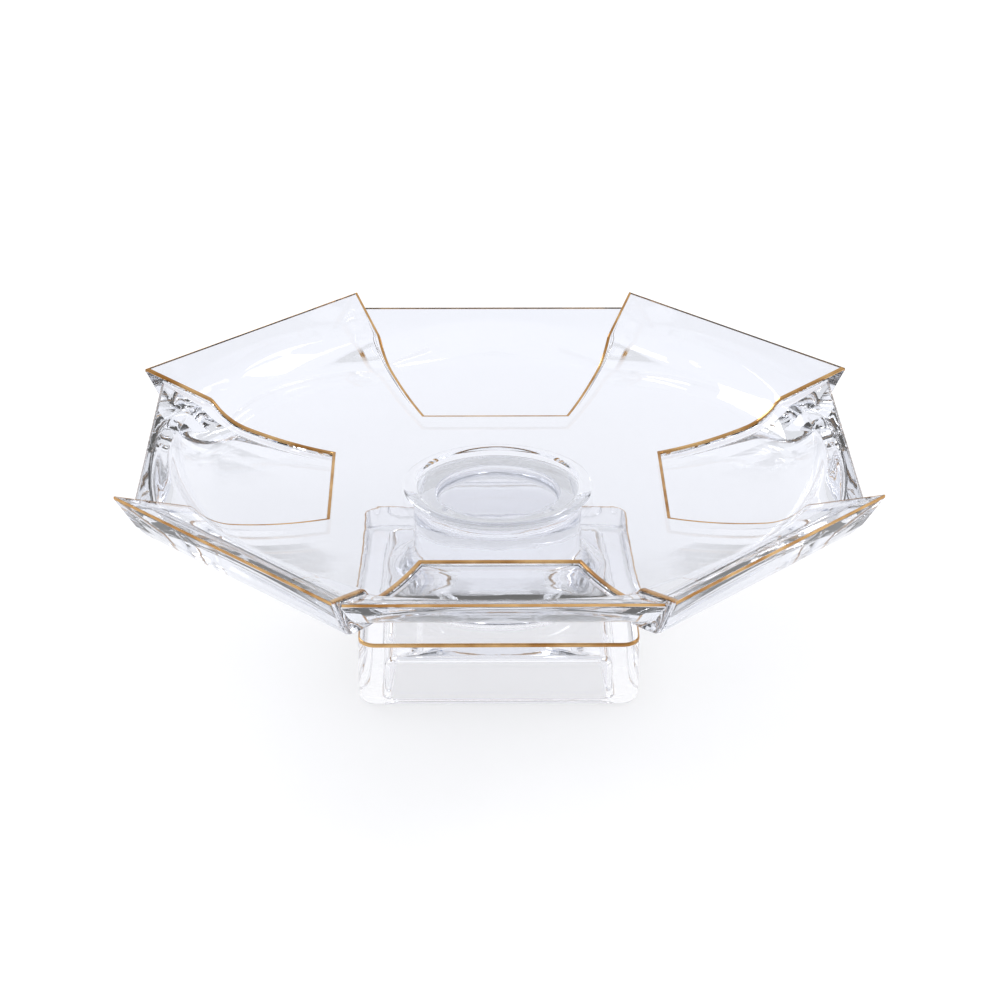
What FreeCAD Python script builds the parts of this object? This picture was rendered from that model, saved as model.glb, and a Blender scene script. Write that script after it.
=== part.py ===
import FreeCAD, Part
import math
import os

# A pressed-glass server: an eight-sided tray with gilded lines, bonded onto a
# glass pedestal with a round neck and a square hollow foot.
# Millimetres, +Z up. The origin is the middle of the foot's underside.

# Driving dimensions
ACROSS_FLATS = 330.0
OVERALL_HEIGHT = 108.0

# The tray, from above. Depths are measured down from the rim.
FLARE_SLOPE = 0.35
BOWL_RADIUS = 146.0
BOWL_EDGE_DEPTH = 8.4
BOWL_TURN = (127.0, 22.6)
FLOOR_RADIUS = 80.0
FLOOR_DEPTH = 27.9
FLOOR_THICKNESS = 10.0
SEAT_RING_INNER = 36.8
SEAT_RING_OUTER = 43.4
SEAT_RING_HEIGHT = 0.8
RIM_EDGE = 1.6

# The tray, from below: where each side's outer face turns, as (apothem, depth).
PETAL_SHOULDER = (157.0, 16.0)
PETAL_TURN = (147.0, 24.6)
PANEL_SHOULDER = (149.5, 15.5)
PANEL_TURN = (139.0, 23.4)
BASE_APOTHEM = 73.5

# The four recessed panels
PANEL_STEP = 2.2
PANEL_INNER_APOTHEM = 76.2
PANEL_INNER_HALF_WIDTH = 33.9
PANEL_RIM_APOTHEM = 156.9

# The pedestal
FOOT_WIDTH = 125.0
FOOT_HEIGHT = 32.0
FOOT_WALL = 11.3
FOOT_CORNER = 8.0
FOOT_LOWER_ROUND = 3.5
CAVITY_CORNER = 6.7
NECK_RADIUS = 38.3
NECK_BASE_FILLET = 14.0
NECK_HEAD_RADIUS = 39.3
NECK_HEAD_HEIGHT = 2.0
NECK_FLARE_HEIGHT = 2.0
DISH_RIM_WIDTH = 11.3
DISH_FLOOR_RADIUS = 22.0
DISH_DEPTH = 3.0

# The bond and the fired gold
BOND_THICKNESS = 0.2
LINE_WIDTH = 1.5
LINE_DEPTH = 1.0
EDGE_BAND_DEPTH = 0.4

SIDES = 8
SIDE_ANGLE = 360.0 / SIDES
APOTHEM = ACROSS_FLATS / 2
CLEAR = 20.0
UP = FreeCAD.Vector(0, 0, 1)
ORIGIN = FreeCAD.Vector(0, 0, 0)
PANELS = {"right": 0, "back": 90, "left": 180, "front": 270}
PETALS = {"back_right": 45, "back_left": 135, "front_left": 225, "front_right": 315}


def at(across, depth):
    """A point of a section, from its distance off the axis and its depth below the rim."""
    return FreeCAD.Vector(across, 0, OVERALL_HEIGHT - depth)


def line(start, end):
    return Part.LineSegment(start, end).toShape()


def tangent_arc(start, end, heading):
    """The arc from start to end that leaves start along heading, and its heading at end."""
    chord = end - start
    heading = heading.normalize()
    normal = (chord - heading * chord.dot(heading)).normalize()
    radius = chord.Length ** 2 / (2 * chord.dot(normal))
    centre = start + normal * radius
    middle = (start + end) / 2 - centre
    middle_point = centre + middle.normalize() * radius
    spoke = (end - centre).normalize()
    leaving = spoke.cross(heading.cross(normal)).normalize()
    if leaving.dot(chord) < 0:
        leaving = leaving * -1
    return Part.Arc(start, middle_point, end).toShape(), leaving


def turned(section):
    """The solid swept by a closed section, in the XZ plane, round the Z axis."""
    face = Part.Face(Part.Wire(Part.__sortEdges__(section)))
    return face.revolve(ORIGIN, UP, 360)


def octagon(apothem, z):
    """A wire with eight equal sides, one of them facing +X."""
    reach = apothem / math.cos(math.pi / SIDES)
    corners = []
    for i in range(SIDES + 1):
        angle = math.radians((i + 0.5) * SIDE_ANGLE)
        corners.append(FreeCAD.Vector(reach * math.cos(angle), reach * math.sin(angle), z))
    return Part.makePolygon(corners)


def underside(shoulder, turn):
    """One side's outer face in section, from the middle of the base out to its shoulder,
    and the heading there."""
    base = at(BASE_APOTHEM, FLOOR_DEPTH + FLOOR_THICKNESS)
    turn_point = at(*turn)
    shoulder_point = at(*shoulder)
    lower, heading = tangent_arc(base, turn_point, FreeCAD.Vector(1, 0, 0))
    upper, heading = tangent_arc(turn_point, shoulder_point, heading)
    return [line(at(0, FLOOR_DEPTH + FLOOR_THICKNESS), base), lower, upper], heading


def envelope(shoulder, turn, angle):
    """Everything above one side's outer face, as a long bar across the tray."""
    edges, heading = underside(shoulder, turn)
    start = at(*shoulder)
    rise = CLEAR + shoulder[1]
    end = start + heading * (rise / heading.z)
    top = FreeCAD.Vector(0, 0, end.z)
    edges += [line(start, end), line(end, top), line(top, at(0, FLOOR_DEPTH + FLOOR_THICKNESS))]
    face = Part.Face(Part.Wire(Part.__sortEdges__(edges)))
    face.translate(FreeCAD.Vector(0, -ACROSS_FLATS, 0))
    bar = face.extrude(FreeCAD.Vector(0, 2 * ACROSS_FLATS, 0))
    bar = bar.fuse(bar.mirror(ORIGIN, FreeCAD.Vector(1, 0, 0))).removeSplitter()
    bar.rotate(ORIGIN, UP, angle)
    return bar


def hollow(extra_depth):
    """The space above the tray's upper surface, or above one that is lower by extra_depth."""
    floor = at(FLOOR_RADIUS, FLOOR_DEPTH)
    turn = at(*BOWL_TURN)
    edge = at(BOWL_RADIUS, BOWL_EDGE_DEPTH)
    gentle, heading = tangent_arc(floor, turn, FreeCAD.Vector(1, 0, 0))
    steep, heading = tangent_arc(turn, edge, heading)
    end = edge + heading * ((BOWL_EDGE_DEPTH + CLEAR) / heading.z)
    top = FreeCAD.Vector(0, 0, end.z)
    ring_inside = at(SEAT_RING_INNER, FLOOR_DEPTH)
    ring_crown = at((SEAT_RING_INNER + SEAT_RING_OUTER) / 2, FLOOR_DEPTH - SEAT_RING_HEIGHT)
    ring_outside = at(SEAT_RING_OUTER, FLOOR_DEPTH)
    seat_ring = Part.Arc(ring_inside, ring_crown, ring_outside).toShape()
    section = [line(at(0, FLOOR_DEPTH), ring_inside), seat_ring, line(ring_outside, floor)]
    section += [gentle, steep, line(edge, end), line(end, top), line(top, at(0, FLOOR_DEPTH))]
    bowl = turned(section)
    inner = BOWL_RADIUS - CLEAR
    outer = APOTHEM + CLEAR
    wires = []
    for apothem in (inner, outer):
        wires.append(octagon(apothem, OVERALL_HEIGHT - FLARE_SLOPE * (APOTHEM - apothem)))
    flare = Part.makeLoft(wires, True, True)
    cap = Part.Face(octagon(outer, OVERALL_HEIGHT + FLARE_SLOPE * CLEAR)).extrude(UP * CLEAR)
    space = bowl.fuse([flare, cap])
    space.translate(UP * -extra_depth)
    return space


def panel_outline(grow, outer_apothem):
    """A panel's shape from above, for the panel that faces +X, grown sideways by grow."""
    slope = (APOTHEM * math.tan(math.pi / SIDES) - PANEL_INNER_HALF_WIDTH) / (
        APOTHEM - PANEL_INNER_APOTHEM
    )
    side_grow = grow * math.hypot(1, slope)
    inner = PANEL_INNER_APOTHEM - grow
    points = []
    for apothem in (inner, outer_apothem):
        half = PANEL_INNER_HALF_WIDTH + slope * (apothem - PANEL_INNER_APOTHEM) + side_grow
        points.append((apothem, half))
    corners = [(a, -h) for a, h in points] + [(a, h) for a, h in reversed(points)]
    corners.append(corners[0])
    return [FreeCAD.Vector(x, y, 0) for x, y in corners]


def panel_prism(angle, grow=0.0, outer_apothem=APOTHEM + CLEAR):
    """A panel's shape from above, taken through the whole height of the tray."""
    face = Part.Face(Part.makePolygon(panel_outline(grow, outer_apothem)))
    prism = face.extrude(UP * (OVERALL_HEIGHT + CLEAR))
    prism.rotate(ORIGIN, UP, angle)
    return prism


def side_sector(angle):
    """The eighth of the plan that faces one petal's side, less the panels beside it."""
    reach = 2 * APOTHEM
    half = math.radians(SIDE_ANGLE / 2)
    corner = FreeCAD.Vector(reach * math.cos(half), reach * math.sin(half), 0)
    other = FreeCAD.Vector(corner.x, -corner.y, 0)
    prism = Part.Face(Part.makePolygon([ORIGIN, other, corner, ORIGIN]))
    prism = prism.extrude(UP * (OVERALL_HEIGHT + CLEAR))
    prism.rotate(ORIGIN, UP, angle)
    return prism


def tray_blank(panel_prisms):
    """The tray before gilding: petals, panels and their two upper levels."""
    petal_body = None
    for angle in (0, 45, 90, 135):
        bar = envelope(PETAL_SHOULDER, PETAL_TURN, angle)
        petal_body = bar if petal_body is None else petal_body.common(bar)
    petal_body = petal_body.common(Part.Face(octagon(APOTHEM, 0)).extrude(UP * OVERALL_HEIGHT))
    space = hollow(0.0)
    lower_space = hollow(PANEL_STEP)
    blank = petal_body.cut(space)
    for name, prism in panel_prisms.items():
        thin = envelope(PANEL_SHOULDER, PANEL_TURN, PANELS[name])
        limit = Part.makeBox(2 * PANEL_RIM_APOTHEM, 2 * ACROSS_FLATS, 2 * OVERALL_HEIGHT)
        limit.translate(FreeCAD.Vector(-PANEL_RIM_APOTHEM, -ACROSS_FLATS, 0))
        limit.rotate(ORIGIN, UP, PANELS[name])
        blank = blank.cut(prism.cut(thin.common(limit)))
        blank = blank.cut(prism.common(lower_space))
    return blank, space


def panel_lines(blank, space, panel_prisms):
    """The gold line round the inner end and both sides of each panel."""
    layer = hollow(LINE_DEPTH).cut(space)
    lines = {}
    for name, prism in panel_prisms.items():
        band = panel_prism(PANELS[name], LINE_WIDTH).cut(prism)
        lines[name] = band.common(layer).common(blank)
    return lines


def rim_bands(blank, panel_prisms, lines):
    """The gold on the narrow edge faces of the four petals and the four panels."""
    bands = {}
    petal_core = Part.Face(octagon(APOTHEM - EDGE_BAND_DEPTH, 0)).extrude(UP * OVERALL_HEIGHT)
    lowest = OVERALL_HEIGHT - RIM_EDGE
    for name, angle in PETALS.items():
        zone = side_sector(angle)
        slab = Part.makeBox(4 * APOTHEM, 4 * APOTHEM, CLEAR)
        slab.translate(FreeCAD.Vector(-2 * APOTHEM, -2 * APOTHEM, lowest))
        band = blank.common(zone).common(slab).cut(petal_core)
        for other in list(panel_prisms.values()) + list(lines.values()):
            band = band.cut(other)
        bands["petal_rim_gilding_" + name] = band
    panel_top = OVERALL_HEIGHT - FLARE_SLOPE * (APOTHEM - PANEL_RIM_APOTHEM) - PANEL_STEP
    for name, prism in panel_prisms.items():
        strip = Part.makeBox(EDGE_BAND_DEPTH, 2 * APOTHEM, RIM_EDGE + CLEAR)
        corner = FreeCAD.Vector(PANEL_RIM_APOTHEM - EDGE_BAND_DEPTH, -APOTHEM, panel_top - RIM_EDGE)
        strip.translate(corner)
        strip.rotate(ORIGIN, UP, PANELS[name])
        bands["panel_rim_gilding_" + name] = blank.common(strip).common(prism)
    return bands


def rounded_square(width, corner, height):
    """An upright block with a square plan and rounded corners, standing on z = 0."""
    block = Part.makeBox(width, width, height)
    block.translate(FreeCAD.Vector(-width / 2, -width / 2, 0))
    uprights = [e for e in block.Edges if abs(e.Vertexes[0].Z - e.Vertexes[1].Z) > height / 2]
    return block.makeFillet(corner, uprights)


def edges_at(solid, z):
    """The edges of a solid that lie wholly at one height."""
    tolerance = 1e-6
    found = []
    for edge in solid.Edges:
        box = edge.BoundBox
        if abs(box.ZMin - z) < tolerance and abs(box.ZMax - z) < tolerance:
            found.append(edge)
    return found


def neck():
    """The round neck: a fillet off the foot, a plain waist and a wider dished head."""
    head_top = OVERALL_HEIGHT - FLOOR_DEPTH - FLOOR_THICKNESS - BOND_THICKNESS
    head_bottom = head_top - NECK_HEAD_HEIGHT
    waist_top = head_bottom - NECK_FLARE_HEIGHT
    waist_bottom = FOOT_HEIGHT + NECK_BASE_FILLET
    overlap = 2.0

    def point(radius, z):
        return FreeCAD.Vector(radius, 0, z)

    fillet_start = point(NECK_RADIUS + NECK_BASE_FILLET, FOOT_HEIGHT)
    fillet, _ = tangent_arc(fillet_start, point(NECK_RADIUS, waist_bottom), FreeCAD.Vector(-1, 0, 0))
    flare, _ = tangent_arc(point(NECK_RADIUS, waist_top), point(NECK_HEAD_RADIUS, head_bottom), UP)
    rim_inner = point(NECK_HEAD_RADIUS - DISH_RIM_WIDTH, head_top)
    dish_edge = point(DISH_FLOOR_RADIUS, head_top - DISH_DEPTH)
    dish, _ = tangent_arc(dish_edge, rim_inner, FreeCAD.Vector(1, 0, 0))
    section = [
        line(point(0, FOOT_HEIGHT - overlap), point(fillet_start.x, FOOT_HEIGHT - overlap)),
        line(point(fillet_start.x, FOOT_HEIGHT - overlap), fillet_start),
        fillet,
        line(point(NECK_RADIUS, waist_bottom), point(NECK_RADIUS, waist_top)),
        flare,
        line(point(NECK_HEAD_RADIUS, head_bottom), point(NECK_HEAD_RADIUS, head_top)),
        line(point(NECK_HEAD_RADIUS, head_top), rim_inner),
        dish,
        line(dish_edge, point(0, head_top - DISH_DEPTH)),
        line(point(0, head_top - DISH_DEPTH), point(0, FOOT_HEIGHT - overlap)),
    ]
    return turned(section)


def foot_blank():
    """The square foot: a rounded block with a hollow that is open underneath."""
    block = rounded_square(FOOT_WIDTH, FOOT_CORNER, FOOT_HEIGHT)
    block = block.makeFillet(FOOT_LOWER_ROUND, edges_at(block, 0))
    inside = FOOT_WIDTH - 2 * FOOT_WALL
    cavity = rounded_square(inside, CAVITY_CORNER, FOOT_HEIGHT - FOOT_WALL)
    cavity = cavity.makeFillet(CAVITY_CORNER - 1, edges_at(cavity, FOOT_HEIGHT - FOOT_WALL))
    return block.cut(cavity)


def foot_line():
    """The gold band round the top of the foot's four sides."""
    outer = rounded_square(FOOT_WIDTH, FOOT_CORNER, FOOT_HEIGHT)
    core = rounded_square(FOOT_WIDTH - 2 * EDGE_BAND_DEPTH, FOOT_CORNER - EDGE_BAND_DEPTH, FOOT_HEIGHT)
    below = Part.makeBox(2 * FOOT_WIDTH, 2 * FOOT_WIDTH, FOOT_HEIGHT - RIM_EDGE)
    below.translate(FreeCAD.Vector(-FOOT_WIDTH, -FOOT_WIDTH, 0))
    return outer.cut(core).cut(below)


def bond():
    """The thin ring of clear adhesive between the neck's rim and the tray."""
    top = OVERALL_HEIGHT - FLOOR_DEPTH - FLOOR_THICKNESS
    base = FreeCAD.Vector(0, 0, top - BOND_THICKNESS)
    ring = Part.makeCylinder(NECK_HEAD_RADIUS, BOND_THICKNESS, base)
    return ring.cut(Part.makeCylinder(NECK_HEAD_RADIUS - DISH_RIM_WIDTH, BOND_THICKNESS, base))


def build():
    panel_prisms = {name: panel_prism(angle) for name, angle in PANELS.items()}
    tray, space = tray_blank(panel_prisms)
    lines = panel_lines(tray, space, panel_prisms)
    gilding = rim_bands(tray, panel_prisms, lines)
    for name, shape in lines.items():
        gilding["panel_line_gilding_" + name] = shape
    tray = tray.cut(list(gilding.values()))
    foot_gold = foot_line()
    pedestal = foot_blank().fuse(neck()).removeSplitter().cut(foot_gold)
    nodes = {"tray": tray, "pedestal": pedestal, "bond_ring": bond(), "foot_gilding": foot_gold}
    nodes.update(gilding)
    os.makedirs("parts", exist_ok=True)
    for name, shape in nodes.items():
        solids = shape.Solids
        kept = solids[0] if len(solids) == 1 else Part.makeCompound(solids)
        kept.exportStep("parts/" + name + ".step")
        print(name, len(solids), "solids", round(kept.Volume, 1), "mm3", kept.isValid())


build()
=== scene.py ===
# %% [markdown]
# # A pressed-glass chip and dip server
# The object is an eight-sided glass tray on a round neck and a square hollow foot, with lines of
# fired gold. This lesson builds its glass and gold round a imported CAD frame. The frame says where
# everything is, and this script decides how it looks. Lengths below are in millimetres, and one
# value turns them into metres when a mesh is made.

# %% Load the frame
import math

import bmesh
import bpy
from mathutils import Matrix, Vector


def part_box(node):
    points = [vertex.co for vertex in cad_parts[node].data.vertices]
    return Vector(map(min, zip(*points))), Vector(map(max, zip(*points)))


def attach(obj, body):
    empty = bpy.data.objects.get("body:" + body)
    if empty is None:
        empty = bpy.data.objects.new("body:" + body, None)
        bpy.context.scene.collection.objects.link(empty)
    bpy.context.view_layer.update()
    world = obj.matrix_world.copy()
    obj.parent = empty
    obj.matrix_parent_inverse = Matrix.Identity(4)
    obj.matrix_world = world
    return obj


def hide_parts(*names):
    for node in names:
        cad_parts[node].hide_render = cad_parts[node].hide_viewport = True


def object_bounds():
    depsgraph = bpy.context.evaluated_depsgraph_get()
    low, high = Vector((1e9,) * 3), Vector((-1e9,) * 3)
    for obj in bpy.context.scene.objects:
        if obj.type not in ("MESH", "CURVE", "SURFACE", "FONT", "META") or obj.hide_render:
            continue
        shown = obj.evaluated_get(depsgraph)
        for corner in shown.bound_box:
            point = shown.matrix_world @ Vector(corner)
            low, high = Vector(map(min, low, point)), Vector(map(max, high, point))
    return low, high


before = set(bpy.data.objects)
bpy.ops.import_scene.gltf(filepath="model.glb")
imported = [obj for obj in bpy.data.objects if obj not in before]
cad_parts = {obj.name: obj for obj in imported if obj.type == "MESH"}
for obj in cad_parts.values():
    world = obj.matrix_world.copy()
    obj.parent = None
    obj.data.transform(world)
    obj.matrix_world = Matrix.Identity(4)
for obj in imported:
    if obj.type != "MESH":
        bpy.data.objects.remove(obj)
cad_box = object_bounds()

MM = 0.001
print("nodes in the frame:", len(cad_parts))

# %% [markdown]
# ## Sizes
# The outer sizes are read from the frame. The rest are what a mould maker would put on the
# drawing: where the bowl wall turns, how deep the panels are pressed, how far each edge is
# rounded. The gold stands a hair proud of the glass, so the glass is drawn that much inside the
# CAD box.

# %% Read the outer sizes and name the rest
foot_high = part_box("foot_gilding")[1]
bond_low, bond_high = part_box("bond_ring")
PROUD = 0.04
APOTHEM = cad_box[1].x / MM - PROUD
RIM_Z = cad_box[1].z / MM - PROUD
TRAY_BASE_Z = bond_high.z / MM
HEAD_TOP_Z = bond_low.z / MM
FOOT_HALF = foot_high.x / MM - PROUD
FOOT_TOP_Z = foot_high.z / MM - PROUD

FLARE_SLOPE = 0.35
FLOOR_RADIUS = 80.0
FLOOR_DEPTH = 27.9
BOWL_TURN = (127.0, 22.6)
BOWL_EDGE = (146.0, 8.4)
CREASE_BLEND = 1.6
SEAT_RING = (36.8, 43.4)
SEAT_RING_HEIGHT = 0.8
BASE_APOTHEM = 73.5
PETAL_TURN = (147.0, 24.6)
PETAL_SHOULDER = (157.0, 16.0)
PANEL_TURN = (139.0, 23.4)
PANEL_SHOULDER = (149.5, 15.5)
PANEL_STEP = 2.2
PANEL_INNER = (76.2, 33.9)
PANEL_RIM = 156.9
EDGE_ROUND = 0.5
EIGHTH = math.pi / 4
RIM_HALF = APOTHEM * math.tan(EIGHTH / 2)
print("tray", round(2 * APOTHEM, 1), "mm across, rim at", round(RIM_Z, 1), "mm")

# %% [markdown]
# ## Arcs that meet without a corner
# The mould's curves are arcs that leave one another in the same direction. A small class holds an
# arc by its start, its end and the angle it starts with, and answers one question: how high is
# the curve at this distance from the axis? A formula lets the mesh be as fine as the glass needs,
# because facets show at once in anything that refracts.

# %% Arc helper
class RisingArc:
    """An arc in section, given as (across, height) points, which leaves its start at an angle."""

    def __init__(self, start, end, angle):
        chord = (end[0] - start[0], end[1] - start[1])
        half_turn = math.atan2(chord[1], chord[0]) - angle
        self.radius = math.hypot(*chord) / (2 * math.sin(half_turn))
        self.across = start[0] - self.radius * math.sin(angle)
        self.level = start[1] + self.radius * math.cos(angle)
        self.end_angle = angle + 2 * half_turn

    def height(self, across):
        reach = across - self.across
        return self.level - math.sqrt(max(self.radius ** 2 - reach ** 2, 0.0))


def under_rim(across_and_depth):
    """A (distance, depth below the rim) pair as a (distance, height) point."""
    return across_and_depth[0], RIM_Z - across_and_depth[1]


FLOOR_Z = RIM_Z - FLOOR_DEPTH
bowl_gentle = RisingArc((FLOOR_RADIUS, FLOOR_Z), under_rim(BOWL_TURN), 0.0)
bowl_steep = RisingArc(under_rim(BOWL_TURN), under_rim(BOWL_EDGE), bowl_gentle.end_angle)
print("the bowl wall ends at", round(math.degrees(bowl_steep.end_angle), 1), "degrees")

# %% [markdown]
# ## The tray's upper surface
# A round bowl is pressed into a flat-sided flare. At any place the glass surface is the lower of
# the two. Hot glass never keeps a knife edge, so where the two cross they are blended over a
# millimetre or two. A panel is the same surface, lowered by the panel's step. A low round ring on
# the flat floor keeps a dip bowl in the middle.

# %% Upper surface
SIDE_NORMALS = [(math.cos(i * EIGHTH), math.sin(i * EIGHTH)) for i in range(8)]


def apothem_of(x, y):
    """How far out a place is, measured square to the nearest of the eight sides."""
    return max(x * nx + y * ny for nx, ny in SIDE_NORMALS)


def seat_rise(radius):
    """How far the seat ring stands above the floor at this radius; its section is one arc."""
    inner, outer = SEAT_RING
    half = (outer - inner) / 2
    bend = (half ** 2 + SEAT_RING_HEIGHT ** 2) / (2 * SEAT_RING_HEIGHT)
    off_crown = min(abs(radius - (inner + outer) / 2), half)
    return math.sqrt(bend ** 2 - off_crown ** 2) - (bend - SEAT_RING_HEIGHT)


def bowl_z(radius):
    if radius <= FLOOR_RADIUS:
        return FLOOR_Z + seat_rise(radius)
    if radius <= BOWL_TURN[0]:
        return bowl_gentle.height(radius)
    if radius <= BOWL_EDGE[0]:
        return bowl_steep.height(radius)
    return RIM_Z - BOWL_EDGE[1] + (radius - BOWL_EDGE[0]) * math.tan(bowl_steep.end_angle)


def flare_z(x, y):
    return RIM_Z - FLARE_SLOPE * (APOTHEM - apothem_of(x, y))


def petal_top(x, y):
    bowl = bowl_z(math.hypot(x, y))
    if math.hypot(x, y) < BOWL_TURN[0]:
        return bowl
    flare = flare_z(x, y)
    near = max(CREASE_BLEND - abs(bowl - flare), 0.0) / CREASE_BLEND
    return min(bowl, flare) - near * near * CREASE_BLEND / 4


# %% [markdown]
# ## The tray's underside
# Each of the eight sides has its own curved outer face, and they share a flat base. The panels'
# faces are set further in, which leaves a step between them and the petals underneath too.

# %% Lower surface
class OuterFace:
    """One side's outer face in section: flat base, two arcs, then a straight slope to the rim."""

    def __init__(self, turn, shoulder):
        base = (BASE_APOTHEM, TRAY_BASE_Z)
        self.turn, self.shoulder = under_rim(turn), under_rim(shoulder)
        self.lower = RisingArc(base, self.turn, 0.0)
        self.upper = RisingArc(self.turn, self.shoulder, self.lower.end_angle)

    def height(self, apothem):
        if apothem <= BASE_APOTHEM:
            return TRAY_BASE_Z
        if apothem <= self.turn[0]:
            return self.lower.height(apothem)
        if apothem <= self.shoulder[0]:
            return self.upper.height(apothem)
        return self.shoulder[1] + (apothem - self.shoulder[0]) * math.tan(self.upper.end_angle)


petal_face = OuterFace(PETAL_TURN, PETAL_SHOULDER)
panel_face = OuterFace(PANEL_TURN, PANEL_SHOULDER)


def petal_bottom(x, y):
    return petal_face.height(apothem_of(x, y))


def panel_bottom(x, y):
    """A panel's outer face. Its apothem is taken along the nearer of the X and Y axes."""
    return max(petal_bottom(x, y), panel_face.height(max(abs(x), abs(y))))


print("the petals' outer face reaches the rim", round(RIM_Z - petal_face.height(APOTHEM), 2), "mm down")

# %% [markdown]
# ## Welding a mesh as it is written
# Faces are given as lists of points. The builder gives the same number to points in the same
# place, so neighbouring surfaces share their edges and the shell is closed. Glass needs a closed
# shell, because the renderer decides what is inside it by counting surfaces. Edges sharper than
# the roundings are marked sharp, and weighted normals keep the flat faces flat.

# %% Shell builder
class Shell:
    """Collects faces given as points in millimetres, and makes one welded mesh of them."""

    def __init__(self):
        self.numbers, self.points, self.faces = {}, [], []

    def number(self, point):
        key = tuple(round(c, 4) + 0.0 for c in point)
        if key not in self.numbers:
            self.numbers[key] = len(self.points)
            self.points.append(key)
        return self.numbers[key]

    def face(self, points):
        loop = []
        for point in points:
            n = self.number(point)
            if n not in loop:
                loop.append(n)
        if len(loop) > 2:
            self.faces.append(loop)

    def strip(self, first, second):
        """Faces between two rows of points of equal length."""
        for i in range(len(first) - 1):
            self.face([first[i], first[i + 1], second[i + 1], second[i]])

    def rows(self, rows):
        for first, second in zip(rows, rows[1:]):
            self.strip(first, second)

    def piece(self, name, sharp_angle=40.0):
        mesh = bpy.data.meshes.new(name)
        mesh.from_pydata([[c * MM for c in p] for p in self.points], [], self.faces)
        work = bmesh.new()
        work.from_mesh(mesh)
        bmesh.ops.recalc_face_normals(work, faces=work.faces)
        if work.calc_volume(signed=True) < 0:
            bmesh.ops.reverse_faces(work, faces=work.faces)
        open_edges = sum(1 for e in work.edges if len(e.link_faces) != 2)
        work.to_mesh(mesh)
        work.free()
        mesh.shade_smooth()
        mesh.set_sharp_from_angle(angle=math.radians(sharp_angle))
        piece = bpy.data.objects.new(name, mesh)
        bpy.context.scene.collection.objects.link(piece)
        steady = piece.modifiers.new("steady_shading", "WEIGHTED_NORMAL")
        steady.keep_sharp = True
        print(name, len(mesh.polygons), "faces,", open_edges, "open edges")
        return piece


def hand_over(piece, slot, *nodes):
    """The calls every finished piece needs: it hides the CAD nodes it stands for and hangs it on its body.
    The slot argument is not used.
    """
    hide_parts(*nodes)
    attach(piece, "root")


# %% [markdown]
# ## The outline of a panel
# Seen from above a panel is a trapezoid, and everything near its edge is measured from that
# outline: the rounded corner above the step, the fillet below it and the gold line beside it. One
# class gives the outline moved outward by any amount, so that all of them stay parallel. The
# petals are what lies between four panels.

# %% Panel outlines
COLUMNS = 44
END_COLUMNS = 20
BOWL_ROWS = 44
FLARE_ROWS = 8
NOTCH_ROWS = 5
SEAT_ROWS = 12
SEAT_FOOT = 0.3
FLOOR_SHARES = (0.0, 0.1, 0.22, 0.36, 0.52, 0.68, 0.84, 1.0)
CENTRE_RADII = (0.7, 0.35, 0.0)
BOWL_CROWDING = 1.6
FLARE_CROWDING = 1.5
ROUND_STEPS = 4
SIDE_SLOPE = (RIM_HALF - PANEL_INNER[1]) / (APOTHEM - PANEL_INNER[0])


def turned(point, angle):
    c, s = math.cos(angle), math.sin(angle)
    return (point[0] * c - point[1] * s, point[0] * s + point[1] * c)


def between(a, b, share):
    return (a[0] + (b[0] - a[0]) * share, a[1] + (b[1] - a[1]) * share)


class Outline:
    """A panel's outline from above, grown by some millimetres; hand is +1 or -1 for its sides."""

    def __init__(self, angle, grow):
        self.angle, self.grow = angle, grow

    def half(self, apothem):
        straight = PANEL_INNER[1] + SIDE_SLOPE * (apothem - PANEL_INNER[0])
        return straight + self.grow * math.hypot(1, SIDE_SLOPE)

    def on_side(self, apothem, hand):
        return turned((apothem, hand * self.half(apothem)), self.angle)

    def corner(self, hand):
        return self.on_side(PANEL_INNER[0] - self.grow, hand)

    def tip(self, hand, inset):
        """Where the side line meets the next petal's rim line, moved in by inset."""
        rim = (APOTHEM - inset) * math.sqrt(2)
        offset = PANEL_INNER[1] - SIDE_SLOPE * PANEL_INNER[0] + self.grow * math.hypot(1, SIDE_SLOPE)
        return self.on_side((rim - offset) / (1 + SIDE_SLOPE), hand)

    def side_marks(self, hand, inset):
        """The four places that every line of points along a side passes through."""
        lip = self.on_side(PANEL_RIM - EDGE_ROUND, hand)
        notch = self.on_side(PANEL_RIM, hand)
        return self.corner(hand), lip, notch, self.tip(hand, inset)


def crease_share(start, end):
    """How far along a line from start to end the bowl meets the flare."""
    low, high = 0.3, 1.0
    for _ in range(40):
        middle = (low + high) / 2
        x, y = between(start, end, middle)
        if bowl_z(math.hypot(x, y)) < flare_z(x, y):
            low = middle
        else:
            high = middle
    return low


def round_shares():
    """How far a quarter-round has moved across and down, from its flat start to its upright end."""
    steps = [math.pi / 2 * i / ROUND_STEPS for i in range(ROUND_STEPS + 1)]
    return [(1 - math.sin(t), 1 - math.cos(t)) for t in steps]


def column(marks, to_tip):
    """Points outward along one line: floor to crease, crease to lip, over the lip, then the notch."""
    inner, lip, notch, tip = marks
    crease = between(inner, lip, crease_share(inner, lip))
    points = [between(inner, crease, 1 - (1 - i / BOWL_ROWS) ** BOWL_CROWDING) for i in range(BOWL_ROWS)]
    points += [between(crease, lip, (i / FLARE_ROWS) ** FLARE_CROWDING) for i in range(FLARE_ROWS)]
    points += [between(notch, lip, inward) for inward, _ in round_shares()]
    if to_tip:
        points += [between(notch, tip, i / NOTCH_ROWS) for i in range(1, NOTCH_ROWS + 1)]
    return points


PANEL_ROWS = BOWL_ROWS + FLARE_ROWS + ROUND_STEPS + 1
LIP_ROW = PANEL_ROWS - 1 - ROUND_STEPS


def lip_drop(row):
    """How far a panel's rim rounding has fallen by this row."""
    return EDGE_ROUND * round_shares()[row - LIP_ROW][1] if row >= LIP_ROW else 0.0


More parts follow.
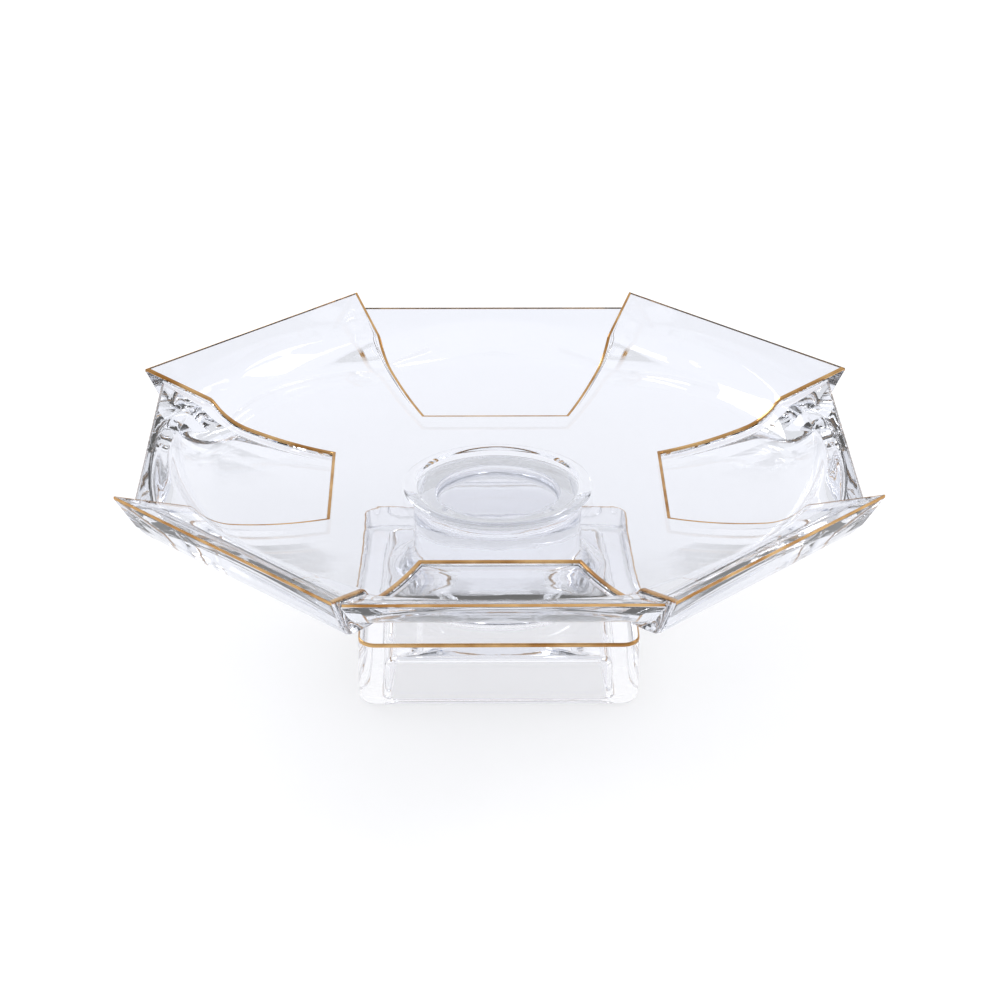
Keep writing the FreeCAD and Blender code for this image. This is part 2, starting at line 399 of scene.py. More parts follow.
class Path:
    """The line of points round a panel: in along one side, across the inner end, and out."""

    def __init__(self, angle, grow, inset, to_tip):
        outline = Outline(angle, grow)
        sides = [column(outline.side_marks(hand, inset), to_tip) for hand in (-1, 1)]
        end = [between(sides[0][0], sides[1][0], i / END_COLUMNS) for i in range(END_COLUMNS + 1)]
        out_rows = list(range(1, len(sides[0])))
        self.points = sides[0][:0:-1] + end + sides[1][1:]
        self.rows = out_rows[::-1] + [0] * len(end) + out_rows
        self.sides = sides

    def raised(self, height):
        """The path's points with a height each, from height(x, y, row)."""
        return [(x, y, height(x, y, row)) for (x, y), row in zip(self.points, self.rows)]


print("rows along a panel:", PANEL_ROWS)

# %% [markdown]
# ## Pressing the tray
# The tray is one closed shell. The petals, the panels and the floor are grids. Round each panel,
# nested paths make the rounded edge, the upright step and its fillet, above and below. Where the
# panel's rim stops short of the petals' tips, the same paths run on, and the upright step becomes
# the petal's free end.

# %% Build the tray
PANEL_ANGLES = [i * 2 * EIGHTH for i in range(4)]


def step_round(x, y):
    """The rounding's height underneath, which shrinks to nothing where the step does."""
    return min(EDGE_ROUND, (panel_bottom(x, y) - petal_bottom(x, y)) / 2)


def edge_levels(angle):
    """A panel's nested paths, as (top points, bottom points) lists from petal side to panel side."""
    tops, bottoms = [], []
    for across, down in round_shares():
        path = Path(angle, EDGE_ROUND * across, EDGE_ROUND * across, True)
        tops.append(path.raised(lambda x, y, row: petal_top(x, y) - EDGE_ROUND * down))
        bottoms.append(path.raised(lambda x, y, row: petal_bottom(x, y) + down * (
            EDGE_ROUND if row >= PANEL_ROWS else step_round(x, y))))
    for across, down in reversed(round_shares()):
        path = Path(angle, -EDGE_ROUND * across, 0.0, False)
        tops.append(path.raised(lambda x, y, row: petal_top(x, y) - PANEL_STEP
                                + EDGE_ROUND * down - lip_drop(row)))
        bottoms.append(path.raised(lambda x, y, row: panel_bottom(x, y)
                                   - down * step_round(x, y) + lip_drop(row)))
    return tops, bottoms


def skirt_levels(shell, tops, bottoms):
    """The surfaces round one panel: roundings, upright steps, free ends and the rim's corners."""
    rounds = ROUND_STEPS + 1
    for levels in (tops, bottoms):
        shell.rows(levels[:rounds])
        shell.rows(levels[rounds:])
        shell.strip(levels[rounds - 1][NOTCH_ROWS:-NOTCH_ROWS], levels[rounds])
    upper, lower = tops[rounds - 1], bottoms[rounds - 1]
    for end in (0, -1):
        ends = [[levels[i][end] for i in range(rounds, 2 * rounds)] for levels in (tops, bottoms)]
        shell.strip(ends[0], ends[1])
        free_top = upper[:NOTCH_ROWS + 1] if end == 0 else upper[:-NOTCH_ROWS - 2:-1]
        free_bottom = lower[:NOTCH_ROWS + 1] if end == 0 else lower[:-NOTCH_ROWS - 2:-1]
        shell.strip(free_top[:-1], free_bottom[:-1])
        shell.face([free_top[-2], free_top[-1], ends[0][0], ends[1][0], free_bottom[-1], free_bottom[-2]])


def grid(left_marks, right_marks, columns, to_tip):
    """Rows of plan points between two side lines."""
    lines = []
    for i in range(columns + 1):
        marks = [between(a, b, i / columns) for a, b in zip(left_marks, right_marks)]
        lines.append(column(marks, to_tip))
    return [list(row) for row in zip(*lines)]


def press_panel(shell, angle):
    outline = Outline(angle, -EDGE_ROUND)
    marks = [outline.side_marks(hand, 0.0) for hand in (-1, 1)]
    rows = grid(*marks, END_COLUMNS, False)
    tops = [[(x, y, petal_top(x, y) - PANEL_STEP - lip_drop(n)) for x, y in row]
            for n, row in enumerate(rows)]
    bottoms = [[(x, y, panel_bottom(x, y) + lip_drop(n)) for x, y in row] for n, row in enumerate(rows)]
    shell.rows(tops)
    shell.rows(bottoms)
    shell.strip(tops[-1], bottoms[-1])


def press_petal(shell, angle):
    """One petal, between the panel at angle and the next one round."""
    last_rows = []
    for surface, turn in ((petal_top, -1), (petal_bottom, 1)):
        for n, (across, down) in enumerate(round_shares()):
            inset = EDGE_ROUND * across
            left = Outline(angle, inset).side_marks(1, inset)
            right = Outline(angle + 2 * EIGHTH, inset).side_marks(-1, inset)
            if n == 0:
                rows = grid(left, right, COLUMNS, True)
                shell.rows([[(x, y, surface(x, y)) for x, y in row] for row in rows])
                edge = [(x, y, surface(x, y)) for x, y in rows[-1]]
            else:
                line = [between(left[3], right[3], i / COLUMNS) for i in range(COLUMNS + 1)]
                next_edge = [(x, y, surface(x, y) + turn * EDGE_ROUND * down) for x, y in line]
                shell.strip(edge, next_edge)
                edge = next_edge
        last_rows.append(edge)
    shell.strip(*last_rows)


def floor_line(point):
    """Plan points from one place on the middle's border, over the seat ring and in to the axis."""
    x, y = point
    reach = math.hypot(x, y)
    inner, outer = SEAT_RING
    start = outer + SEAT_FOOT
    radii = [reach + (start - reach) * share for share in FLOOR_SHARES]
    radii += [outer + (inner - outer) * i / SEAT_ROWS for i in range(SEAT_ROWS + 1)]
    radii += [inner - SEAT_FOOT] + [inner * share for share in CENTRE_RADII]
    return [(x * radius / reach, y * radius / reach) for radius in radii]


def press_floor(shell):
    """The middle of the tray, out to the panels' inner ends."""
    for angle in PANEL_ANGLES:
        here, following = Outline(angle, EDGE_ROUND), Outline(angle + 2 * EIGHTH, EDGE_ROUND)
        spans = [(here.corner(-1), here.corner(1), END_COLUMNS),
                 (here.corner(1), following.corner(-1), COLUMNS)]
        for start, end, count in spans:
            border = [between(start, end, i / count) for i in range(count + 1)]
            rows = list(zip(*[floor_line(point) for point in border]))
            for surface in (petal_top, petal_bottom):
                shell.rows([[(x, y, surface(x, y)) for x, y in row] for row in rows])


def press_tray():
    shell = Shell()
    press_floor(shell)
    for angle in PANEL_ANGLES:
        skirt_levels(shell, *edge_levels(angle))
        press_panel(shell, angle)
        press_petal(shell, angle)
    return shell.piece("pressed_tray")


tray = press_tray()
hand_over(tray, "clear_glass", "tray")

# %% [markdown]
# ## The pedestal as one long skin
# Foot and neck are one pressing. Their skin can be drawn as a single run of closed loops: down
# from the ceiling of the hollow, round the foot's lower edge, up its outside, in over its shoulder,
# up the neck and down into the dished head. Square loops turn into round ones on the flat
# shoulder, where nothing shows the change.

# %% Loops for the pedestal
FOOT_CORNER = 8.0
FOOT_WALL = 11.3
FOOT_LOWER_ROUND = 3.5
FOOT_UPPER_ROUND = 0.7
FOOT_INNER_ROUND = 1.0
CAVITY_CORNER = 6.7
CAVITY_COVE = 5.7
NECK_RADIUS = 38.3
NECK_BASE_FILLET = 14.0
HEAD_RADIUS = 39.3
HEAD_HEIGHT = 2.0
HEAD_FLARE_HEIGHT = 2.0
HEAD_ROUND = 0.7
DISH_RIM_WIDTH = 11.3
DISH_FLOOR_RADIUS = 22.0
DISH_DEPTH = 3.0
FLAT_STEPS = 10
CORNER_STEPS = 14
CENTRE_SHARES = (0.02, 0.3, 0.6, 0.85)


def quarter_angles():
    """Directions round a quarter turn, closer together at the square's corner."""
    to_corner = math.atan2(FOOT_HALF - FOOT_CORNER, FOOT_HALF)
    across_corner = math.pi / 2 - 2 * to_corner
    first = [to_corner * i / FLAT_STEPS for i in range(FLAT_STEPS)]
    middle = [to_corner + across_corner * i / CORNER_STEPS for i in range(CORNER_STEPS)]
    last = [math.pi / 2 - to_corner * (1 - i / FLAT_STEPS) for i in range(FLAT_STEPS)]
    return first + middle + last


DIRECTIONS = [angle + quarter * math.pi / 2 for quarter in range(4) for angle in quarter_angles()]


def square_reach(angle, half, corner):
    """Distance from the axis to a rounded square's outline in one direction."""
    folded = abs((angle + math.pi / 4) % (math.pi / 2) - math.pi / 4)
    c, s = math.cos(folded), math.sin(folded)
    straight = half - corner
    if half * s / c <= straight:
        return half / c
    along = straight * (c + s)
    return along + math.sqrt(max(along ** 2 - 2 * straight ** 2 + corner ** 2, 0.0))


def square_loop(half, corner, z):
    reaches = [square_reach(a, half, corner) for a in DIRECTIONS]
    return [(r * math.cos(a), r * math.sin(a), z) for r, a in zip(reaches, DIRECTIONS)]


def round_loop(radius, z):
    return [(radius * math.cos(a), radius * math.sin(a), z) for a in DIRECTIONS]


def halfway_loops(outer, inner, shares):
    return [[(a[0] + (b[0] - a[0]) * s, a[1] + (b[1] - a[1]) * s, a[2] + (b[2] - a[2]) * s)
             for a, b in zip(outer, inner)] for s in shares]


def quarter(steps):
    return [math.pi / 2 * i / steps for i in range(steps + 1)]


print("points round each loop:", len(DIRECTIONS))

# %% [markdown]
# The foot is a square block with a hollow open underneath. Inside, the ceiling meets the walls in
# a wide cove, which the plunger of the mould needs to come away. The foot stands on the narrow flat
# ring between its outer and inner roundings.

# %% Foot and neck loops
def foot_loops():
    inner = FOOT_HALF - FOOT_WALL
    ceiling = FOOT_TOP_Z - FOOT_WALL
    loops = [square_loop((inner - CAVITY_COVE) * s, (CAVITY_CORNER - CAVITY_COVE) * s, ceiling)
             for s in CENTRE_SHARES]
    for t in quarter(10):
        drawn_in = CAVITY_COVE * (1 - math.sin(t))
        loops.append(square_loop(inner - drawn_in, CAVITY_CORNER - drawn_in,
                                 ceiling - CAVITY_COVE * (1 - math.cos(t))))
    loops.append(square_loop(inner, CAVITY_CORNER, ceiling / 2))
    for t in quarter(4):
        grown = FOOT_INNER_ROUND * (1 - math.cos(t))
        loops.append(square_loop(inner + grown, CAVITY_CORNER + grown, FOOT_INNER_ROUND * (1 - math.sin(t))))
    for t in quarter(8):
        drawn_in = FOOT_LOWER_ROUND * (1 - math.sin(t))
        loops.append(square_loop(FOOT_HALF - drawn_in, FOOT_CORNER - drawn_in,
                                 FOOT_LOWER_ROUND * (1 - math.cos(t))))
    loops.append(square_loop(FOOT_HALF, FOOT_CORNER, FOOT_TOP_Z / 2))
    for t in quarter(4):
        drawn_in = FOOT_UPPER_ROUND * (1 - math.cos(t))
        loops.append(square_loop(FOOT_HALF - drawn_in, FOOT_CORNER - drawn_in,
                                 FOOT_TOP_Z - FOOT_UPPER_ROUND * (1 - math.sin(t))))
    return loops


def neck_loops():
    start = NECK_RADIUS + NECK_BASE_FILLET
    loops = []
    for t in quarter(14):
        radius = start - NECK_BASE_FILLET * math.sin(t)
        loops.append(round_loop(radius, FOOT_TOP_Z + NECK_BASE_FILLET * (1 - math.cos(t))))
    flare_z0 = HEAD_TOP_Z - HEAD_HEIGHT - HEAD_FLARE_HEIGHT
    for i in range(9):
        rise = i / 8
        swell = (HEAD_RADIUS - NECK_RADIUS) * rise * rise * (3 - 2 * rise)
        loops.append(round_loop(NECK_RADIUS + swell, flare_z0 + HEAD_FLARE_HEIGHT * rise))
    inner = HEAD_RADIUS - DISH_RIM_WIDTH
    for t in quarter(4):
        loops.append(round_loop(HEAD_RADIUS - HEAD_ROUND * (1 - math.cos(t)),
                                HEAD_TOP_Z - HEAD_ROUND * (1 - math.sin(t))))
    for t in quarter(4):
        loops.append(round_loop(inner + HEAD_ROUND * (1 - math.sin(t)),
                                HEAD_TOP_Z - HEAD_ROUND * (1 - math.cos(t))))
    for t in quarter(12)[1:]:
        loops.append(round_loop(DISH_FLOOR_RADIUS + (inner - DISH_FLOOR_RADIUS) * math.cos(t),
                                HEAD_TOP_Z - HEAD_ROUND - (DISH_DEPTH - HEAD_ROUND) * math.sin(t)))
    for share in reversed(CENTRE_SHARES):
        loops.append(round_loop(DISH_FLOOR_RADIUS * share, HEAD_TOP_Z - DISH_DEPTH))
    return loops


def closed(loop):
    return loop + loop[:1]


def press_pedestal():
    shell = Shell()
    foot, neck = foot_loops(), neck_loops()
    shoulder = halfway_loops(foot[-1], neck[0], (0.3, 0.7))
    loops = foot + shoulder + neck
    shell.rows([closed(loop) for loop in loops])
    shell.face(loops[0])
    shell.face(loops[-1])
    return shell.piece("pressed_pedestal")


pedestal = press_pedestal()
hand_over(pedestal, "clear_glass", "pedestal")

# %% [markdown]
# ## The bond
# The head of the neck is glued to the tray's base by a clear ring that is cured with ultraviolet
# light. It wets both glasses, so no air is left between them. It is drawn a few hundredths of a
# millimetre into each, which lets light pass through the joint as it does in the real one.

# %% Bond ring
BOND_WETTING = 0.05


def cast_bond_ring():
    shell = Shell()
    low, high = HEAD_TOP_Z - BOND_WETTING, TRAY_BASE_Z + BOND_WETTING
    outer = HEAD_RADIUS - HEAD_ROUND
    inner = HEAD_RADIUS - DISH_RIM_WIDTH + HEAD_ROUND
    middle = (low + high) / 2
    section = [(inner, low), (outer, low), (outer + BOND_WETTING, middle),
               (outer, high), (inner, high), (inner - BOND_WETTING, middle)]
    shell.rows([closed(round_loop(radius, z)) for radius, z in section + section[:1]])
    return shell.piece("cured_bond_ring", 80.0)


bond_ring = cast_bond_ring()
hand_over(bond_ring, "clear_adhesive", "bond_ring")

# %% [markdown]
# ## Gold films
# Liquid gold is brushed or rolled on the finished glass and fired, and what stays is a film far
# thinner than a hair. Here each film is a closed ribbon bent over the rounded edge: its outside
# stands a few hundredths of a millimetre proud, and its inside is sunk in the glass, so no gap
# shows from either side. The lines and the foot's band share one bent section. The bands on the
# rims have a shorter one, which starts partway over the edge.

# %% Bent section of a film
LINE_WIDTH = 1.5
LINE_DEPTH = 1.0
BAND_DEPTH = 1.6
SUNK = 0.12


def over_edge(reach, turns):
    """(across, down) points of an arc round the edge rounding's centre."""
    return [(EDGE_ROUND - reach * math.sin(t), EDGE_ROUND - reach * math.cos(t)) for t in turns]


def bent_section(flat_width, depth):
    """(across, down) points round a film that covers flat_width of the top and depth of the wall."""
    turns = quarter(ROUND_STEPS)
    outer = [(flat_width, -PROUD), (EDGE_ROUND + (flat_width - EDGE_ROUND) / 2, -PROUD)]
    outer += over_edge(EDGE_ROUND + PROUD, turns) + [(-PROUD, depth)]
    inner = [(SUNK, depth)] + over_edge(EDGE_ROUND - SUNK, turns[::-1]) + [(flat_width, SUNK)]
    return outer + inner


def edge_section(first_step, depth):
    """The same for a band on an upright edge, which starts some steps over the rounding."""
    turns = quarter(ROUND_STEPS)[first_step:]
    outer = over_edge(EDGE_ROUND + PROUD, turns) + [(-PROUD, depth)]
    return outer + [(SUNK, depth)] + over_edge(EDGE_ROUND - SUNK, turns[::-1])


def steepness(x, y, surface):
    """How much longer a vertical offset must be to stand clear of a sloping surface."""
    tiny = 0.05
    rise_x = (surface(x + tiny, y) - surface(x - tiny, y)) / (2 * tiny)
    rise_y = (surface(x, y + tiny) - surface(x, y - tiny)) / (2 * tiny)
    return math.sqrt(1 + rise_x ** 2 + rise_y ** 2)


def film_point(x, y, down, surface):
    """A film's point under or over a surface, with the thin offsets kept square to it."""
    thin = abs(down) <= SUNK
    return (x, y, surface(x, y) - (down * steepness(x, y, surface) if thin else down))


def film_piece(name, lines, node):
    """A closed ribbon from its section's lines of points, with both ends capped."""
    shell = Shell()
    shell.rows(lines + lines[:1])
    shell.face([line[0] for line in lines])
    shell.face([line[-1] for line in lines])
    piece = shell.piece(name)
    hand_over(piece, "fired_gold", node)
    return piece


def inside_rim(z):
    """Keeps a film's highest points level with the top of the CAD model."""
    return min(z, RIM_Z + PROUD)


# %% [markdown]
# The thin line runs round each panel on the petals' side of the step, from one petal tip to the
# next. The bands lie on the narrow edge faces of the petals and the panels. The last one goes
# round the top of the foot.

# %% Lay the gold
PANEL_NAMES = ("right", "back", "left", "front")
PETAL_NAMES = ("back_right", "back_left", "front_left", "front_right")
BAND_COLUMNS = 40


def panel_surface(x, y):
    return petal_top(x, y) - PANEL_STEP


def line_film(angle):
    lines = []
    for across, down in bent_section(LINE_WIDTH, LINE_DEPTH):
        path = Path(angle, across, EDGE_ROUND, True)
        points = [film_point(x, y, down, petal_top) for x, y in path.points]
        lines.append([(x, y, inside_rim(z)) for x, y, z in points])
    return lines


def rim_film(angle):
    lines = []
    for across, down in edge_section(ROUND_STEPS // 2, BAND_DEPTH):
        start = Outline(angle, 0.0).tip(1, across)
        end = Outline(angle + 2 * EIGHTH, 0.0).tip(-1, across)
        row = [between(start, end, i / BAND_COLUMNS) for i in range(BAND_COLUMNS + 1)]
        points = [film_point(x, y, down, petal_top) for x, y in row]
        lines.append([(x, y, inside_rim(z)) for x, y, z in points])
    return lines


def panel_rim_film(angle):
    outline = Outline(angle, -EDGE_ROUND)
    lines = []
    for across, down in edge_section(ROUND_STEPS - 1, BAND_DEPTH):
        start, end = (outline.on_side(PANEL_RIM - across, hand) for hand in (-1, 1))
        row = [between(start, end, i / BAND_COLUMNS) for i in range(BAND_COLUMNS + 1)]
        lines.append([film_point(x, y, down, panel_surface) for x, y in row])
    return lines


def foot_film():
    shell = Shell()
    loops = []
    for across, down in bent_section(FOOT_UPPER_ROUND, BAND_DEPTH):
        loops.append(closed(square_loop(FOOT_HALF - across, FOOT_CORNER - across, FOOT_TOP_Z - down)))
    shell.rows(loops + loops[:1])
    return shell.piece("fired_gold_foot_band")


gold_pieces = []
for panel_name, petal_name, angle in zip(PANEL_NAMES, PETAL_NAMES, PANEL_ANGLES):
    gold_pieces.append(film_piece("fired_gold_line_" + panel_name, line_film(angle),
                                  "panel_line_gilding_" + panel_name))
    gold_pieces.append(film_piece("fired_gold_panel_rim_" + panel_name, panel_rim_film(angle),
                                  "panel_rim_gilding_" + panel_name))
    gold_pieces.append(film_piece("fired_gold_petal_rim_" + petal_name, rim_film(angle),
                                  "petal_rim_gilding_" + petal_name))
foot_band = foot_film()
hand_over(foot_band, "fired_gold", "foot_gilding")
gold_pieces.append(foot_band)

# %% [markdown]
# ## Colours and nodes
# Colours are written as the sRGB hex values a painter would pick, and one function turns them into
# the linear numbers that a shader works in. One helper adds a node with its settings and links.

# %% Material helpers
def linear(hex_colour):
    channels = [int(hex_colour[i:i + 2], 16) / 255 for i in (1, 3, 5)]
    return [c / 12.92 if c <= 0.04045 else ((c + 0.055) / 1.055) ** 2.4 for c in channels] + [1.0]


def add_node(tree, kind, settings=None, values=None, links=None):
    """Adds a node, sets its properties and socket values, and links other nodes' outputs to it."""
    node = tree.nodes.new(kind)
    for key, value in (settings or {}).items():
        setattr(node, key, value)
    for key, value in (values or {}).items():
        node.inputs[key].default_value = value
    for key, source in (links or {}).items():
        tree.links.new(source, node.inputs[key])
    return node


def new_material(name):
    material = bpy.data.materials.new(name)
    material.use_nodes = True
    material.node_tree.nodes.clear()
    return material, material.node_tree


def per_metre(size_mm):
    """A noise scale whose features are about this many millimetres across."""
    return 1 / (size_mm * MM)


# %% [markdown]
# ## Pressed soda-lime glass
# Soda-lime glass has an index of refraction of about 1.52 and is nearly colourless. In thick
# pieces it is faintly blue-grey, which is left to absorption inside the solid, so thick places
# look deeper than thin ones. Pressing in an iron mould and fire polishing leave long, low waves
# about a centimetre across and finer ripples. They are far under a tenth of a millimetre high,
# and they are what makes the highlights wander. Both pressings are the same glass. The shader's base
# colour tints light at every surface, whatever the thickness, and the foot is seen through many
# more surfaces than the tray. Its base colour is lighter, to keep that from adding up.

# %% Glass
def pressed_glass(name, tone):
    material, tree = new_material(name)
    place = add_node(tree, "ShaderNodeTexCoord")
    waves = add_node(tree, "ShaderNodeTexNoise", values={"Scale": per_metre(14.0), "Detail": 1.0},
                     links={"Vector": place.outputs["Object"]})
    ripples = add_node(tree, "ShaderNodeTexNoise", values={"Scale": per_metre(4.0), "Detail": 2.0},
                       links={"Vector": place.outputs["Object"]})
    wave_bump = add_node(tree, "ShaderNodeBump", values={"Strength": 1.0, "Distance": 0.05 * MM},
                         links={"Height": waves.outputs["Fac"]})
    ripple_bump = add_node(tree, "ShaderNodeBump", values={"Strength": 1.0, "Distance": 0.006 * MM},
                           links={"Height": ripples.outputs["Fac"], "Normal": wave_bump.outputs["Normal"]})
    polish = add_node(tree, "ShaderNodeMapRange", values={"To Min": 0.0, "To Max": 0.02},
                      links={"Value": ripples.outputs["Fac"]})
    glass = add_node(tree, "ShaderNodeBsdfPrincipled",
                     values={"Base Color": linear(tone), "IOR": 1.52, "Transmission Weight": 1.0},
                     links={"Normal": ripple_bump.outputs["Normal"], "Roughness": polish.outputs["Result"]})
    tint = add_node(tree, "ShaderNodeVolumeAbsorption",
                    values={"Color": linear("#C9D3EA"), "Density": 0.8})
    add_node(tree, "ShaderNodeOutputMaterial",
             links={"Surface": glass.outputs["BSDF"], "Volume": tint.outputs["Volume"]})
    return material


tray_glass = pressed_glass("pressed_soda_lime_glass_tray", "#EBEDF3")
foot_glass = pressed_glass("pressed_soda_lime_glass_foot", "#FBFBFD")
print("glass:", tray_glass.name, foot_glass.name)

# %% [markdown]
# ## Ultraviolet-cured acrylate
# The adhesive is as clear as the glass and bends light nearly as much. It cures with a faint
# unevenness, which is drawn as slow variation in its polish.

# %% Adhesive
def cured_acrylate():
    material, tree = new_material("uv_cured_clear_acrylate")
    place = add_node(tree, "ShaderNodeTexCoord")
    cure = add_node(tree, "ShaderNodeTexNoise", values={"Scale": per_metre(6.0), "Detail": 2.0},
                    links={"Vector": place.outputs["Object"]})
    polish = add_node(tree, "ShaderNodeMapRange", values={"To Min": 0.0, "To Max": 0.06},
                      links={"Value": cure.outputs["Fac"]})
    resin = add_node(tree, "ShaderNodeBsdfPrincipled",
                     values={"Base Color": linear("#FBFBF8"), "IOR": 1.5, "Transmission Weight": 1.0},
                     links={"Roughness": polish.outputs["Result"]})
    add_node(tree, "ShaderNodeOutputMaterial", links={"Surface": resin.outputs["BSDF"]})
    return material


bond_material = cured_acrylate()
print("adhesive:", bond_material.name)

# %% [markdown]
# ## Fired liquid gold
# Fired gold is bright, a little browner than solid gold because the film is so thin, and it keeps
# the brush's unevenness: slow changes of colour along the line, and fine streaks a few tenths of a
# millimetre wide. A metal's colour is its reflection, so the change of colour is in the base
# colour and the streaks are in roughness and bump.

# %% Gold
def fired_gold():
    material, tree = new_material("fired_liquid_gold")
    place = add_node(tree, "ShaderNodeTexCoord")
    thickness = add_node(tree, "ShaderNodeTexNoise", values={"Scale": per_metre(18.0), "Detail": 3.0},
                         links={"Vector": place.outputs["Object"]})
    streaks = add_node(tree, "ShaderNodeTexNoise", values={"Scale": per_metre(0.6), "Detail": 3.0},
                       links={"Vector": place.outputs["Object"]})
    colour = add_node(tree, "ShaderNodeValToRGB", links={"Fac": thickness.outputs["Fac"]})
    colour.color_ramp.elements[0].position = 0.35
    colour.color_ramp.elements[0].color = linear("#A5753F")
    colour.color_ramp.elements[1].position = 0.65
    colour.color_ramp.elements[1].color = linear("#D4AC76")
    polish = add_node(tree, "ShaderNodeMapRange", values={"To Min": 0.06, "To Max": 0.16},
                      links={"Value": streaks.outputs["Fac"]})
    brush = add_node(tree, "ShaderNodeBump", values={"Strength": 0.4, "Distance": 0.01 * MM},
                     links={"Height": streaks.outputs["Fac"]})
    gold = add_node(tree, "ShaderNodeBsdfPrincipled", values={"Metallic": 1.0},
                    links={"Base Color": colour.outputs["Color"], "Roughness": polish.outputs["Result"],
                           "Normal": brush.outputs["Normal"]})
    add_node(tree, "ShaderNodeOutputMaterial", links={"Surface": gold.outputs["BSDF"]})
    return material


gold_material = fired_gold()
tray.data.materials.append(tray_glass)
pedestal.data.materials.append(foot_glass)
bond_ring.data.materials.append(bond_material)
for piece in gold_pieces:
    piece.data.materials.append(gold_material)
hidden_finish = {"clear_glass": tray_glass, "clear_adhesive": bond_material, "fired_gold": gold_material}
for node_name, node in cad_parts.items():
    is_bond = node_name == "bond_ring"
    finish = "fired_gold" if "gilding" in node_name else "clear_adhesive" if is_bond else "clear_glass"
    node.data.materials.clear()
    node.data.materials.append(hidden_finish[finish])
print("gold pieces:", len(gold_pieces))

# %% [markdown]
# ## The table top
# The piece stands on a wide sheet of matt pale board, lit evenly from below, as clear glass is
# usually lit. The light from below is what keeps the shadow under the glass so faint.

# %% Floor
FLOOR_HALF = 6.0
BOARD_GLOW = 0.68


def lay_board():
    mesh = bpy.data.meshes.new("studio_board")
    corners = [(-FLOOR_HALF, -FLOOR_HALF, 0), (FLOOR_HALF, -FLOOR_HALF, 0),
               (FLOOR_HALF, FLOOR_HALF, 0), (-FLOOR_HALF, FLOOR_HALF, 0)]
    mesh.from_pydata(corners, [], [(0, 1, 2, 3)])
    board = bpy.data.objects.new("studio_board", mesh)
    bpy.context.scene.collection.objects.link(board)
    material, tree = new_material("matt_pale_board")
    place = add_node(tree, "ShaderNodeTexCoord")
    pulp = add_node(tree, "ShaderNodeTexNoise", values={"Scale": per_metre(60.0), "Detail": 3.0},
                    links={"Vector": place.outputs["Object"]})
    tone = add_node(tree, "ShaderNodeMix", settings={"data_type": "RGBA"},
                    links={"Factor": pulp.outputs["Fac"]})
    tone.inputs[6].default_value = linear("#A8A8AB")
    tone.inputs[7].default_value = linear("#AEAEB0")
    paper = add_node(tree, "ShaderNodeBsdfPrincipled",
                     values={"Roughness": 0.9, "Specular IOR Level": 0.1,
                             "Emission Color": linear("#FFFFFF"), "Emission Strength": BOARD_GLOW},
                     links={"Base Color": tone.outputs[2]})
    add_node(tree, "ShaderNodeOutputMaterial", links={"Surface": paper.outputs["BSDF"]})
    mesh.materials.append(material)
    return board


studio_board = lay_board()

# %% [markdown]
# ## Light
# Clear glass shows only what is round it. A white room all round would leave it invisible, so the
# room is white overhead, behind and below, and a band behind the camera is a cool grey. The
# band comes back as the thin dark lines along the edges.

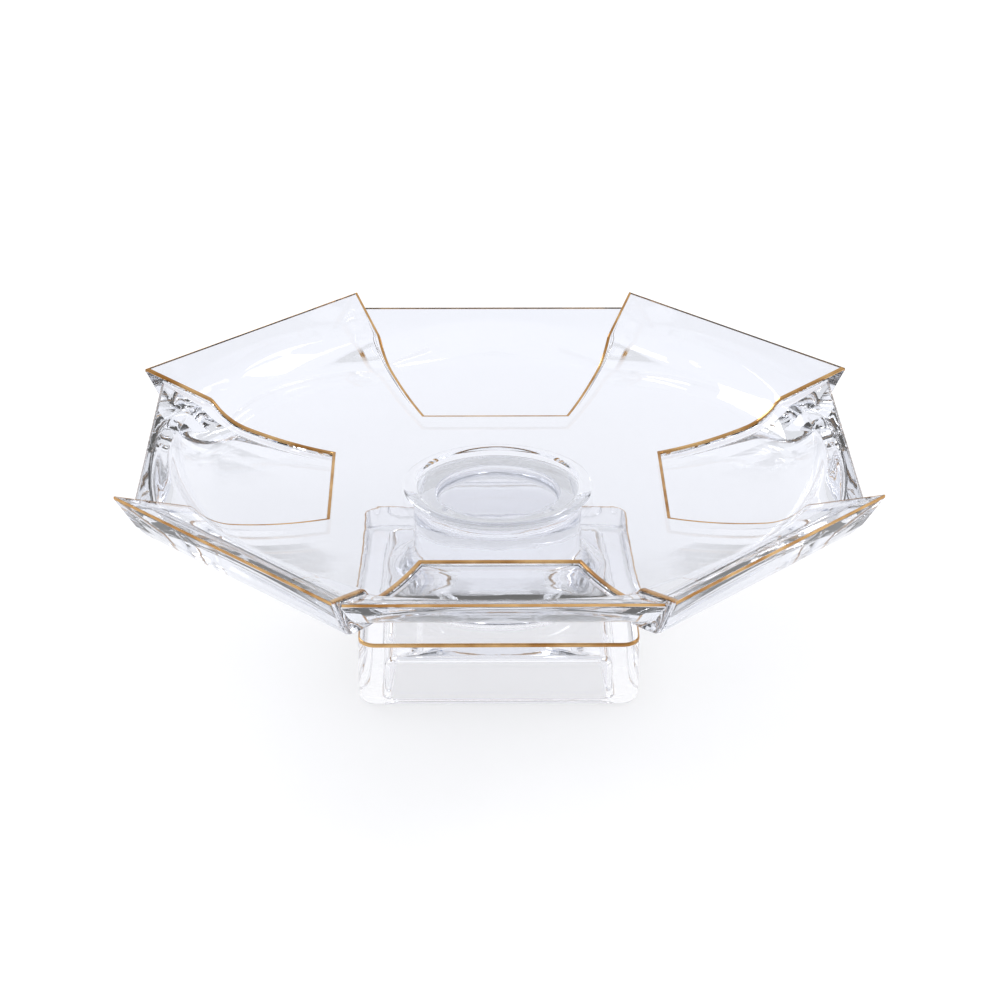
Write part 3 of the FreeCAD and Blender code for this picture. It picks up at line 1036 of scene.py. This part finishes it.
# %% Room and lamps
def light_room():
    world = bpy.data.worlds.new("white_room")
    bpy.context.scene.world = world
    world.use_nodes = True
    tree = world.node_tree
    tree.nodes.clear()
    place = add_node(tree, "ShaderNodeTexCoord")
    axes = add_node(tree, "ShaderNodeSeparateXYZ", links={"Vector": place.outputs["Generated"]})
    height = add_node(tree, "ShaderNodeMapRange", settings={"interpolation_type": "SMOOTHSTEP"},
                      values={"From Min": 0.15, "From Max": 0.75}, links={"Value": axes.outputs["Z"]})
    behind = add_node(tree, "ShaderNodeMapRange", settings={"interpolation_type": "SMOOTHSTEP"},
                      values={"From Min": -0.75, "From Max": 0.1}, links={"Value": axes.outputs["Y"]})
    white = add_node(tree, "ShaderNodeMath", settings={"operation": "MAXIMUM"})
    tree.links.new(height.outputs["Result"], white.inputs[0])
    tree.links.new(behind.outputs["Result"], white.inputs[1])
    sky = add_node(tree, "ShaderNodeMix", settings={"data_type": "RGBA"},
                   links={"Factor": white.outputs["Value"]})
    sky.inputs[6].default_value = linear("#8490B0")
    sky.inputs[7].default_value = linear("#FFFFFF")
    glow = add_node(tree, "ShaderNodeBackground", values={"Strength": 0.9}, links={"Color": sky.outputs[2]})
    add_node(tree, "ShaderNodeOutputWorld", links={"Surface": glow.outputs["Background"]})


def hang_softbox(name, place, aim, size, power):
    light = bpy.data.lights.new(name, "AREA")
    light.shape = "SQUARE"
    light.size = size
    light.energy = power
    lamp = bpy.data.objects.new(name, light)
    lamp.location = place
    lamp.rotation_euler = (Vector(place) - Vector(aim)).to_track_quat("Z", "Y").to_euler()
    bpy.context.scene.collection.objects.link(lamp)
    return lamp


light_room()
hang_softbox("softbox_back_left", (-1.2, 1.4, 1.5), (0.0, 0.0, 0.05), 0.9, 12.0)
hang_softbox("softbox_right", (1.6, 0.2, 1.3), (0.0, 0.0, 0.05), 0.7, 6.0)
bpy.context.scene.view_settings.view_transform = "Standard"
bpy.context.scene.cycles.max_bounces = 24
bpy.context.scene.cycles.transmission_bounces = 24
bpy.context.scene.cycles.glossy_bounces = 12

# %% [markdown]
# ## Camera
# A long lens looks down at the middle of the piece from the front, a hair to the left.

# %% Camera
CAMERA_PLACE = Vector((-0.0187, -1.1415, 0.631))
CAMERA_AZIMUTH = -0.993
CAMERA_PITCH = 26.081
CAMERA_ROLL = 0.301
CAMERA_LENS = 100.56


def set_camera():
    azimuth, pitch, roll = (math.radians(a) for a in (CAMERA_AZIMUTH, CAMERA_PITCH, CAMERA_ROLL))
    flat = math.cos(pitch)
    back = Vector((math.sin(azimuth) * flat, -math.cos(azimuth) * flat, math.sin(pitch)))
    right = (-back).cross(Vector((0, 0, 1))).normalized()
    up = right.cross(-back)
    axis_x = right * math.cos(roll) + up * math.sin(roll)
    axis_y = up * math.cos(roll) - right * math.sin(roll)
    data = bpy.data.cameras.new("studio_camera")
    data.lens = CAMERA_LENS
    data.sensor_width = 36.0
    camera = bpy.data.objects.new("studio_camera", data)
    turn = Matrix((axis_x, axis_y, back)).transposed().to_4x4()
    camera.matrix_world = Matrix.Translation(CAMERA_PLACE) @ turn
    bpy.context.scene.collection.objects.link(camera)
    bpy.context.scene.camera = camera
    return camera


studio_camera = set_camera()
print("camera", [round(c, 3) for c in studio_camera.location])
